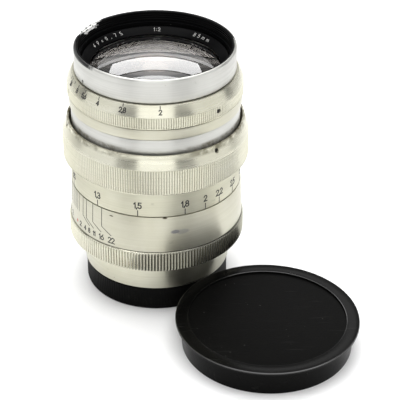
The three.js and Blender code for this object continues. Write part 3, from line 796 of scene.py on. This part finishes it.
bottom, top, radius = ends("head_tube")
TUBE_INNER, TUBE_BORE, TUBE_SHOULDER, TUBE_CUP, TUBE_SEAT = 23.0, 21.4, 59.4, 24.9, 61.8
KEY_SLOT_WIDTH, KEY_SLOT_TOP = 3.8, 49.4
tube_outline = softened([
    (TUBE_BORE, bottom), (TUBE_INNER, bottom), (TUBE_INNER, TUBE_SHOULDER, 0.0), (radius, TUBE_SHOULDER),
    (radius, top, 0.5), (TUBE_CUP, top), (TUBE_CUP, TUBE_SEAT, 0.0), (TUBE_BORE, TUBE_SEAT)], 0.1)
tube_metal = grimy_metal("bright_aluminium_grimy", SILVER, 0.33, low=59.0, high=62.4, inner=28.0, amount=0.8)
tube = lathe("head_tube_turned", tube_outline, [tube_metal])
slotted(tube, [(bearing, TUBE_BORE - 1, TUBE_INNER + 0.6, KEY_SLOT_WIDTH, bottom - 1, KEY_SLOT_TOP)
               for bearing in (90, 270)])
place_piece(tube, "head", "bright_aluminium", "head_tube")

# ---- Aperture ring ----

bottom, top, radius = ends("aperture_ring")
APERTURE_KNURL_TOP, APERTURE_TOP_RADIUS, APERTURE_BORE = 73.6, 26.3, 25.0
APERTURE_RIBS, APERTURE_RIB_DEPTH = 231, 0.26
GRUB_HEIGHT, GRUB_BEARINGS = 71.8, (43.5, 163.5, 283.5)
DRIVE_BEARING, DRIVE_HEIGHT, DRIVE_HOLE = 128.0, 70.9, 0.85
aperture_outline = [
    (APERTURE_BORE, bottom), (radius - 0.3, bottom), (radius - 0.08, bottom + 0.10), (radius, bottom + 0.28),
    (radius, bottom + 0.36, APERTURE_RIB_DEPTH), (radius, APERTURE_KNURL_TOP - 0.30, APERTURE_RIB_DEPTH),
    (radius, APERTURE_KNURL_TOP - 0.16), (radius - 0.06, APERTURE_KNURL_TOP + 0.04),
    (APERTURE_TOP_RADIUS + 0.10, top - 0.16), (APERTURE_TOP_RADIUS - 0.06, top), (APERTURE_BORE, top),
]
aperture_metal = knurled_metal("satin_aluminium_fine_knurl", 0.28, bottom + 0.32, APERTURE_KNURL_TOP - 0.22,
                               radius, APERTURE_RIB_DEPTH, darkness=0.45)
aperture_ring = lathe("aperture_ring_knurled", aperture_outline, [aperture_metal], 4 * APERTURE_RIBS,
                      rib_wave)
bored(aperture_ring, [(b, GRUB_HEIGHT, APERTURE_BORE - 1, radius + 1, GRUB_HOLE) for b in GRUB_BEARINGS]
      + [(DRIVE_BEARING, DRIVE_HEIGHT, APERTURE_BORE - 1, radius + 1, DRIVE_HOLE)])
place_piece(aperture_ring, "aperture", "satin_aluminium", "aperture_ring")

# ---- Focusing ring and its scale ----

bottom, top, radius = ends("focus_ring")
FOCUS_KNURL_TOP, FOCUS_CONE_TOP, FOCUS_LIP_RADIUS = 56.4, 59.4, 28.5
FOCUS_BORE_LOW, FOCUS_BORE_HIGH, FOCUS_BORE_STEP = 27.6, 27.85, 52.2
FOCUS_RIBS, FOCUS_RIB_DEPTH = 230, 0.28
FOCUS_GRUB_HEIGHT, FOCUS_GRUB_BEARINGS = 58.8, (40.5, 160.5, 280.5)
focus_outline = [
    (FOCUS_BORE_LOW, bottom), (radius - 0.4, bottom), (radius - 0.1, bottom + 0.12), (radius, bottom + 0.35),
    (radius, bottom + 0.45, FOCUS_RIB_DEPTH), (radius, FOCUS_KNURL_TOP - 0.35, FOCUS_RIB_DEPTH),
    (radius, FOCUS_KNURL_TOP - 0.2), (radius - 0.05, FOCUS_KNURL_TOP + 0.02),
    (FOCUS_LIP_RADIUS + 0.12, FOCUS_CONE_TOP - 0.22), (FOCUS_LIP_RADIUS, FOCUS_CONE_TOP + 0.05),
    (FOCUS_LIP_RADIUS, top - 0.18), (FOCUS_LIP_RADIUS - 0.14, top), (FOCUS_BORE_HIGH + 0.05, top),
    (FOCUS_BORE_HIGH, top - 0.05), (FOCUS_BORE_HIGH, FOCUS_BORE_STEP), (FOCUS_BORE_LOW, FOCUS_BORE_STEP),
]
focus_metal = grimy_metal(
    "satin_aluminium_grimy", KNURL_TINTS, 0.28, low=57.0, high=61.6, inner=28.4, amount=0.95,
    knurl=(bottom + 0.4, FOCUS_KNURL_TOP - 0.3, radius, FOCUS_RIB_DEPTH, 0.36))
focus_ring = lathe("focus_ring_knurled", focus_outline, [focus_metal], 4 * FOCUS_RIBS, rib_wave)
bored(focus_ring, [(b, FOCUS_GRUB_HEIGHT, FOCUS_BORE_HIGH - 1, radius + 1, GRUB_HOLE)
                   for b in FOCUS_GRUB_BEARINGS])
place_piece(focus_ring, "focus", "satin_aluminium", "focus_ring")

bottom, top, radius = ends("distance_scale_ring")
SKIRT_BORE, SKIRT_TOP, SKIRT_SPIGOT = 25.6, 47.1, 27.3
skirt_outline = softened([
    (SKIRT_BORE, bottom), (radius, bottom, 0.12), (radius, SKIRT_TOP, 0.12), (SKIRT_SPIGOT, SKIRT_TOP, 0.0),
    (SKIRT_SPIGOT, top), (SKIRT_BORE, top)], 0.05)
turned_piece("distance_scale_ring_turned", "distance_scale_ring", "focus", "satin_aluminium", skirt_outline,
             dull)

# ---- Mount ----

bottom, top, radius = ends("depth_scale_barrel")
SCALE_TOP_RADIUS, SCALE_BORE, SCALE_LIP_BORE, SCALE_LIP = 27.75, 26.3, 24.6, 1.8
STOP_BEARING, STOP_HEIGHT, STOP_HOLE = 180.0, 29.3, 0.85
scale_outline = softened([
    (SCALE_LIP_BORE, bottom), (radius, bottom, 0.12), (SCALE_TOP_RADIUS, top, 0.12), (SCALE_BORE, top),
    (SCALE_BORE, bottom + SCALE_LIP, 0.0), (SCALE_LIP_BORE, bottom + SCALE_LIP)], 0.05)
scale_barrel = lathe("depth_scale_barrel_turned", scale_outline, [marked])
bored(scale_barrel, [(STOP_BEARING, STOP_HEIGHT, SCALE_BORE - 0.8, radius + 1, STOP_HOLE)])
place_piece(scale_barrel, "mount", "satin_aluminium", "depth_scale_barrel")

bottom, top, radius = ends("mount_grip_ring")
GRIP_SHOULDER, GRIP_BEVEL, GRIP_BORE = 28.35, 0.6, 24.4
GRIP_RIBS, GRIP_RIB_DEPTH = 180, 0.40
grip_outline = [
    (GRIP_BORE, bottom), (radius - 0.42, bottom), (radius - 0.36, bottom + 0.06),
    (radius, bottom + 0.34, GRIP_RIB_DEPTH), (radius, top - GRIP_BEVEL - 0.1, GRIP_RIB_DEPTH),
    (radius - 0.28, top - 0.26), (GRIP_SHOULDER, top - 0.06), (GRIP_SHOULDER - 0.1, top), (GRIP_BORE, top),
]
# The grip ring darkens down one side with a painted reflection; its valleys hold dirt and painted shade.
grip_metal = knurled_metal("satin_aluminium_coarse_knurl", 0.20, bottom + 0.3, top - 0.4, radius,
                           GRIP_RIB_DEPTH, darkness=0.8, painted_reflection=0.85)
turned_piece("mount_grip_ring_knurled", "mount_grip_ring", "mount", "satin_aluminium", grip_outline,
             grip_metal, GRIP_RIBS)

bottom, top, radius = ends("mount_flange")
FLANGE_FACE, FLANGE_TAIL, FLANGE_TAIL_BORE = 8.6, 19.4, 17.7
FLANGE_CUP, FLANGE_SEAT = 21.5, 10.6
flange_outline = softened([
    (FLANGE_TAIL_BORE, bottom), (FLANGE_TAIL, bottom, 0.5), (FLANGE_TAIL, FLANGE_FACE, 0.0),
    (radius, FLANGE_FACE, 0.14), (radius, top, 0.1), (FLANGE_CUP, top), (FLANGE_CUP, FLANGE_SEAT, 0.0),
    (FLANGE_TAIL_BORE, FLANGE_SEAT)], 0.05)
turned_piece("mount_flange_turned", "mount_flange", "mount", "satin_aluminium", flange_outline, polished)

# ---- Caps ----

bottom, top, radius = ends("rear_cap")
CAP_BORE, CAP_FLOOR = 19.8, 1.0
CAP_RIBS, CAP_RIB_DEPTH = 150, 0.12
rear_cap_outline = [
    (0.0, bottom), (radius - 0.7, bottom), (radius - 0.15, bottom + 0.25), (radius, bottom + 0.7),
    (radius, bottom + 0.9, CAP_RIB_DEPTH), (radius, top - 1.0, CAP_RIB_DEPTH), (radius, top - 0.8),
    (radius, top - 0.3), (radius - 0.1, top - 0.08), (radius - 0.3, top), (CAP_BORE + 0.2, top),
    (CAP_BORE, top - 0.2),
    (CAP_BORE, CAP_FLOOR), (0.0, CAP_FLOOR),
]
turned_piece("rear_cap_moulded", "rear_cap", "rear_cap", "black_plastic", rear_cap_outline, rear_plastic,
             CAP_RIBS)

low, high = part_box("front_cap")
cap_centre = ((low.x + high.x) / 2 / MM, (low.y + high.y) / 2 / MM)
bottom, top, radius = low.z / MM, high.z / MM, (high.x - low.x) / 2 / MM
LID_LIP, LID_WALL, LID_BORE, LID_RECESS, LID_DEPTH, LID_SKIN = 0.9, 27.1, 25.85, 25.0, 0.9, 1.2
LID_EDGE = 0.3  # how far the polish reaches below the top
TILTED, LEVEL, NEARLY_LEVEL = 0.1, 0.9, 0.95  # how far up a face's normal points
recess_floor = top - LID_DEPTH
lid_outline = softened([
    (0.0, recess_floor - LID_SKIN, 0.0), (LID_BORE, recess_floor - LID_SKIN, 0.3), (LID_BORE, bottom, 0.15),
    (LID_WALL, bottom, 0.3), (LID_WALL, top - LID_LIP, 0.0), (radius, top - LID_LIP, 0.25),
    (radius, top, 0.35), (LID_RECESS, top, 0.22), (LID_RECESS, recess_floor, 0.2), (0.0, recess_floor, 0.0),
], 0.1)


def lid_material(face):
    """Grained plastic in the recess, polished on the eased edges of the lip's top, smooth elsewhere."""
    height, upward = face.center.z / MM, face.normal.z
    if upward > LEVEL and abs(height - recess_floor) < 0.05:
        return 1
    return 2 if top - LID_EDGE < height < top - 0.01 and TILTED < upward < NEARLY_LEVEL else 0


lid = lathe("front_cap_moulded", lid_outline, [cap_plastic, cap_grained, cap_edge], SIDES, None, cap_centre,
            lid_material)
place_piece(lid, "front_cap", "black_plastic", "front_cap")

# ---- Engraved marks ----


def arc(x, y, across, up, start, end, steps=12):
    """Points of part of an ellipse, from one angle to another in degrees."""
    points = []
    for i in range(steps + 1):
        angle = math.radians(start + (end - start) * i / steps)
        points.append((x + across * math.cos(angle), y + up * math.sin(angle)))
    return points


# Engraver's figures: advance, then pen strokes. One unit is the height of a figure.
FIGURES = {
    "0": (0.66, [arc(0.30, 0.50, 0.26, 0.50, 90, 450, 24)]),
    "1": (0.40, [[(0.02, 0.74), (0.22, 1.0), (0.22, 0.0)]]),
    "2": (0.66, [arc(0.29, 0.73, 0.26, 0.27, 170, -35) + [(0.03, 0.0), (0.58, 0.0)]]),
    "3": (0.64, [arc(0.27, 0.75, 0.23, 0.25, 150, -90), arc(0.27, 0.26, 0.27, 0.26, 90, -155)]),
    "4": (0.68, [[(0.44, 0.0), (0.44, 1.0), (0.02, 0.26), (0.60, 0.26)]]),
    "5": (0.64, [[(0.52, 1.0), (0.12, 1.0), (0.07, 0.55)] + arc(0.27, 0.32, 0.27, 0.32, 120, -150)]),
    "6": (0.66, [arc(0.30, 0.31, 0.27, 0.31, 150, 510, 24), [(0.47, 1.0), (0.065, 0.46)]]),
    "7": (0.62, [[(0.03, 1.0), (0.56, 1.0), (0.20, 0.0)]]),
    "8": (0.66, [arc(0.30, 0.76, 0.22, 0.24, 90, 450, 20), arc(0.30, 0.26, 0.27, 0.26, 90, 450, 24)]),
    "9": (0.66, [arc(0.30, 0.69, 0.27, 0.31, -30, 330, 24), [(0.13, 0.0), (0.535, 0.54)]]),
    ",": (0.24, [[(0.10, 0.07), (0.05, -0.14)]]),
    ":": (0.30, [[(0.12, 0.70), (0.12, 0.60)], [(0.12, 0.22), (0.12, 0.12)]]),
    "x": (0.56, [[(0.04, 0.10), (0.44, 0.58)], [(0.04, 0.58), (0.44, 0.10)]]),
    "o": (1.16, [arc(0.27, 0.42, 0.25, 0.25, 0, 360, 20), arc(0.79, 0.42, 0.25, 0.25, 180, 540, 20)]),
    "m": (0.96, [[(0.06, 0.0), (0.06, 0.62)],
                 [(0.06, 0.40)] + arc(0.25, 0.42, 0.19, 0.20, 180, 0) + [(0.44, 0.0)],
                 [(0.44, 0.40)] + arc(0.63, 0.42, 0.19, 0.20, 180, 0) + [(0.82, 0.0)]]),
}


def figure_strokes(text, size, gap=0.0):
    """Pen strokes of a row of figures about its own middle, in millimetres. gap adds space between them."""
    strokes, x = [], 0.0
    for character in text:
        advance, lines = FIGURES[character]
        strokes += [[((x + a) * size, b * size) for a, b in line] for line in lines]
        x += advance + gap
    shift = (x - gap - 0.08) * size / 2
    return [[(a - shift, b - size / 2) for a, b in line] for line in strokes]


def subdivided(line, longest):
    """The line with points added so that no run is longer than this."""
    points = [line[0]]
    for (x0, y0), (x1, y1) in zip(line, line[1:]):
        pieces = max(1, math.ceil(math.dist((x0, y0), (x1, y1)) / longest))
        points += [(x0 + (x1 - x0) * i / pieces, y0 + (y1 - y0) * i / pieces) for i in range(1, pieces + 1)]
    return points


class Marks:
    """Fine painted lines on a turned surface, gathered into one mesh."""

    HEIGHT = 0.022  # how far the paint stands over the surface
    DEPTH = 0.05  # how far it reaches below it
    LONGEST = 0.6  # longest straight run of a stroke, so that it follows the curve of the metal

    def __init__(self, radius_at, lean=0.0, turn=1):
        """radius_at gives the surface's radius at a height. lean is how far its outward side is tipped up,
        in radians, and turn is -1 where rows of figures run against the bearing."""
        self.radius_at, self.lean, self.turn = radius_at, lean, turn
        self.vertices, self.faces = [], []

    def point(self, bearing, height, along, up, lift):
        height += up * abs(math.cos(self.lean))
        surface = self.radius_at(height)
        outward = direction(bearing + self.turn * math.degrees(along / surface))
        place = outward * (surface + lift * math.cos(self.lean))
        return (place.x, place.y, height + lift * math.sin(self.lean))

    def stroke(self, line, width, bearing, height):
        """One pen stroke of (along, up) points about a bearing and height, as a closed bar."""
        line = subdivided(line, self.LONGEST)
        closed = len(line) > 2 and math.dist(line[0], line[-1]) < 1e-6
        points = line[:-1] if closed else line
        count = len(points)
        start = len(self.vertices)
        for i, (x, y) in enumerate(points):
            before = points[i - 1] if i or closed else points[0]
            after = points[(i + 1) % count] if i + 1 < count or closed else points[-1]
            into = Vector((x - before[0], y - before[1]))
            out = Vector((after[0] - x, after[1] - y))
            into = into.normalized() if into.length else out.normalized()
            out = out.normalized() if out.length else into
            along = (into + out).normalized() if (into + out).length > 1e-6 else into
            side = Vector((-along.y, along.x))
            reach = width / 2 / max(0.5, side.dot(Vector((-into.y, into.x))))
            if not closed and i in (0, count - 1):
                end = -along * width / 2 if i == 0 else along * width / 2
                x, y = x + end.x, y + end.y
            for sign, lift in ((1, self.HEIGHT), (-1, self.HEIGHT), (-1, -self.DEPTH), (1, -self.DEPTH)):
                self.vertices.append(self.point(
                    bearing, height, x + sign * side.x * reach, y + sign * side.y * reach, lift))
        for i in range(count if closed else count - 1):
            near, far = start + 4 * i, start + 4 * ((i + 1) % count)
            for k in range(4):
                n = (k + 1) % 4
                self.faces.append((near + k, near + n, far + n, far + k))
        if not closed:
            last = start + 4 * (count - 1)
            self.faces.append((start, start + 1, start + 2, start + 3))
            self.faces.append((last, last + 3, last + 2, last + 1))

    def figures(self, text, size, width, bearing, height, gap=0.0):
        for line in figure_strokes(text, size, gap):
            self.stroke(line, width, bearing, height)

    def polygon(self, corners, bearing, height):
        """A filled mark with its corners as (along, up) points."""
        start, count = len(self.vertices), len(corners)
        for lift in (self.HEIGHT, -self.DEPTH):
            self.vertices += [self.point(bearing, height, x, y, lift) for x, y in corners]
        self.faces.append(tuple(range(start, start + count)))
        self.faces.append(tuple(range(start + 2 * count - 1, start + count - 1, -1)))
        for i in range(count):
            j = (i + 1) % count
            self.faces.append((start + i, start + count + i, start + count + j, start + j))

    def build(self, name, material, body, finish):
        piece = finish_mesh(name, self.vertices, self.faces, [material], smooth=False)
        return place_piece(piece, body, finish)


# Aperture scale on the cone of the aperture ring.
bottom, top, radius = ends("aperture_ring")
CONE_FOOT = radius
CONE_SLOPE = (radius - APERTURE_TOP_RADIUS) / (top - APERTURE_KNURL_TOP)
APERTURES = {
    "2": 2.9, "2,8": -21.6, "4": -40.2, "5,6": -53.5, "8": -62.4, "11": -68.6, "16": -73.8, "22": -76.9,
}
APERTURE_LINE, APERTURE_LINE_WIDTH = 0.72, 0.27
APERTURE_FIGURE, APERTURE_FIGURE_WIDTH, APERTURE_FIGURE_HEIGHT = 1.45, 0.32, 75.15


def radius_on_cone(height):
    return CONE_FOOT - CONE_SLOPE * max(0.0, height - APERTURE_KNURL_TOP)


aperture_marks = Marks(radius_on_cone, math.atan(CONE_SLOPE))
for text, bearing in APERTURES.items():
    aperture_marks.stroke([(0.0, 0.0), (0.0, -APERTURE_LINE)], APERTURE_LINE_WIDTH, bearing, top - 0.22)
    if text not in ("11", "22"):
        aperture_marks.figures(text, APERTURE_FIGURE, APERTURE_FIGURE_WIDTH, bearing, APERTURE_FIGURE_HEIGHT)
aperture_marks.build("aperture_scale", black_ink, "aperture", "black_paint")

# Distance scale on the skirt. A distance's bearing follows from how far the lens head travels for it.
bottom, top, radius = ends("distance_scale_ring")
SKIRT_RADIUS = radius
FOCAL = 85.0
FOCUS_INDEX = -68.4  # bearing
TURN_PER_MM = 30.9  # degrees
INFINITY_TRAVEL = 7.27  # from where the lens is set now
DISTANCE_LINE, DISTANCE_LINE_WIDTH = ((0.0, 0.10), (0.0, 1.85)), 0.30
DISTANCE_FIGURE, DISTANCE_FIGURE_WIDTH, DISTANCE_FIGURE_HEIGHT = 2.0, 0.38, 42.25


def distance_bearing(metres):
    """Bearing of a distance with the ring as it is set: extension x solves x + f*f/x = distance - 2f."""
    span = 1000.0 * metres - 2 * FOCAL
    extension = (span - math.sqrt(span * span - 4 * FOCAL * FOCAL)) / 2
    return FOCUS_INDEX + TURN_PER_MM * (INFINITY_TRAVEL - extension)


DISTANCES = {"1,3": -42.4, "1,5": -12.4, "1,8": 18.85, "2": 33.8, "2,2": 46.0, "2,5": 61.7}
for metres in (3.0, 4.0, 5.0, 7.0, 10.0, 20.0):
    DISTANCES[f"{metres:g}"] = distance_bearing(metres)
DISTANCES["o"] = FOCUS_INDEX + TURN_PER_MM * INFINITY_TRAVEL
DISTANCES["1,15"] = distance_bearing(1.15)
distance_marks = Marks(lambda z: SKIRT_RADIUS)
for text, bearing in DISTANCES.items():
    distance_marks.stroke(DISTANCE_LINE, DISTANCE_LINE_WIDTH, bearing, bottom + 0.1)
    distance_marks.figures(text, DISTANCE_FIGURE, DISTANCE_FIGURE_WIDTH, bearing, DISTANCE_FIGURE_HEIGHT)
distance_marks.build("distance_scale", black_ink, "focus", "black_paint")

# Depth-of-field scale on the fixed barrel: straight lines that bend away to their figures.
bottom, top, radius = ends("depth_scale_barrel")
SCALE_RADIUS, SCALE_FOOT, SCALE_TOP = radius, bottom, top
DEPTHS = {"22": -31.0, "16": -39.0, "11": -45.3, "8": -50.4, "4": -54.9, "2": -60.7}  # bearings of figures
LINE_TOP, LINE_BEND, LINE_END, FIGURE_HEIGHT = 38.0, 31.5, 29.25, 27.5
DEPTH_PER_STOP, BEND_TURN = 1.35, 7.5  # degrees
DEPTH_LINE_WIDTH, INDEX_LINE_WIDTH, DEPTH_FIGURE_WIDTH = 0.22, 0.26, 0.33


def radius_on_barrel(height):
    share = min(1.0, max(0.0, (height - SCALE_FOOT) / (SCALE_TOP - SCALE_FOOT)))
    return SCALE_RADIUS + (SCALE_TOP_RADIUS - SCALE_RADIUS) * share


depth_marks = Marks(radius_on_barrel)
for side in (1, -1):
    for text, figure_bearing in DEPTHS.items():
        line_bearing = FOCUS_INDEX + side * DEPTH_PER_STOP * float(text)
        path = [(0.0, 0.0), (0.0, LINE_BEND - LINE_TOP)]
        if text not in ("2", "4"):
            path.append((math.radians(BEND_TURN) * SCALE_RADIUS * side, LINE_END - LINE_TOP))
        depth_marks.stroke(path, DEPTH_LINE_WIDTH, line_bearing, LINE_TOP)
        place = FOCUS_INDEX + side * (figure_bearing - FOCUS_INDEX)
        size = 1.9 if text in ("22", "16") else 1.55
        depth_marks.figures(text, size, DEPTH_FIGURE_WIDTH, place, FIGURE_HEIGHT)
depth_marks.stroke([(0.0, 0.0), (0.0, LINE_BEND - LINE_TOP)], INDEX_LINE_WIDTH, FOCUS_INDEX, LINE_TOP)
depth_marks.build("depth_of_field_scale", black_ink, "mount", "black_paint")

RED_BEARING = -65.4
red_marks = Marks(radius_on_barrel)
red_marks.polygon([(-0.42, 0.0), (0.0, 0.75), (0.42, 0.0), (0.0, -0.75)], RED_BEARING, FIGURE_HEIGHT)
red_marks.build("focus_index_red", red_ink, "mount", "black_paint")

# Aperture index on the front barrel.
INDEX_BEARING, INDEX_HEIGHT = -60.6, 77.9
index_marks = Marks(lambda z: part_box("front_barrel")[1].x / MM)
index_marks.polygon([(-0.55, 0.55), (0.0, -0.30), (0.55, 0.55), (0.0, 0.95)], INDEX_BEARING, INDEX_HEIGHT)
index_marks.build("aperture_index", black_ink, "head", "black_paint")

# Name ring: lens speed, focal length and filter thread only.
bottom, top, radius = ends("name_ring")
NAME_BOTTOM = bottom + NAME_EDGE
NAME_SLOPE = (NAME_CONE_TOP - NAME_INNER) / (top - NAME_BOTTOM)
NAME_HEIGHT, NAME_SIZE, NAME_WIDTH = 79.6, 1.2, 0.10


def radius_on_name_ring(height):
    return NAME_INNER + NAME_SLOPE * (height - NAME_BOTTOM)


name_marks = Marks(radius_on_name_ring, math.pi - math.atan(NAME_SLOPE), -1)
for text, bearing, gap in (("1:2", 178.3, 0.25), ("49x0,75", 227.0, 1.15), ("85mm", 136.0, 0.8)):
    name_marks.figures(text, NAME_SIZE, NAME_WIDTH, bearing, NAME_HEIGHT, gap)
name_marks.build("name_ring_figures", white_ink, "head", "black_paint")

# ---- Floor ----

floor_material, shader = new_material(
    "floor_paper", Roughness=0.9, Emission_Color=(1.0, 1.0, 1.0, 1.0), Emission_Strength=0.03)
paper = noise(object_place(shader), 300.0, 3.0)
connect(shader, Base_Color=mix_colour(paper, (0.90, 0.90, 0.90), (0.93, 0.93, 0.93)),
        Normal=bump(paper, 0.1, 0.05))
FLOOR_HALF = 3000.0
corners = [(x * FLOOR_HALF, y * FLOOR_HALF, 0) for x, y in ((-1, -1), (1, -1), (1, 1), (-1, 1))]
floor = finish_mesh("floor", corners, [(0, 1, 2, 3)], [floor_material], smooth=False)
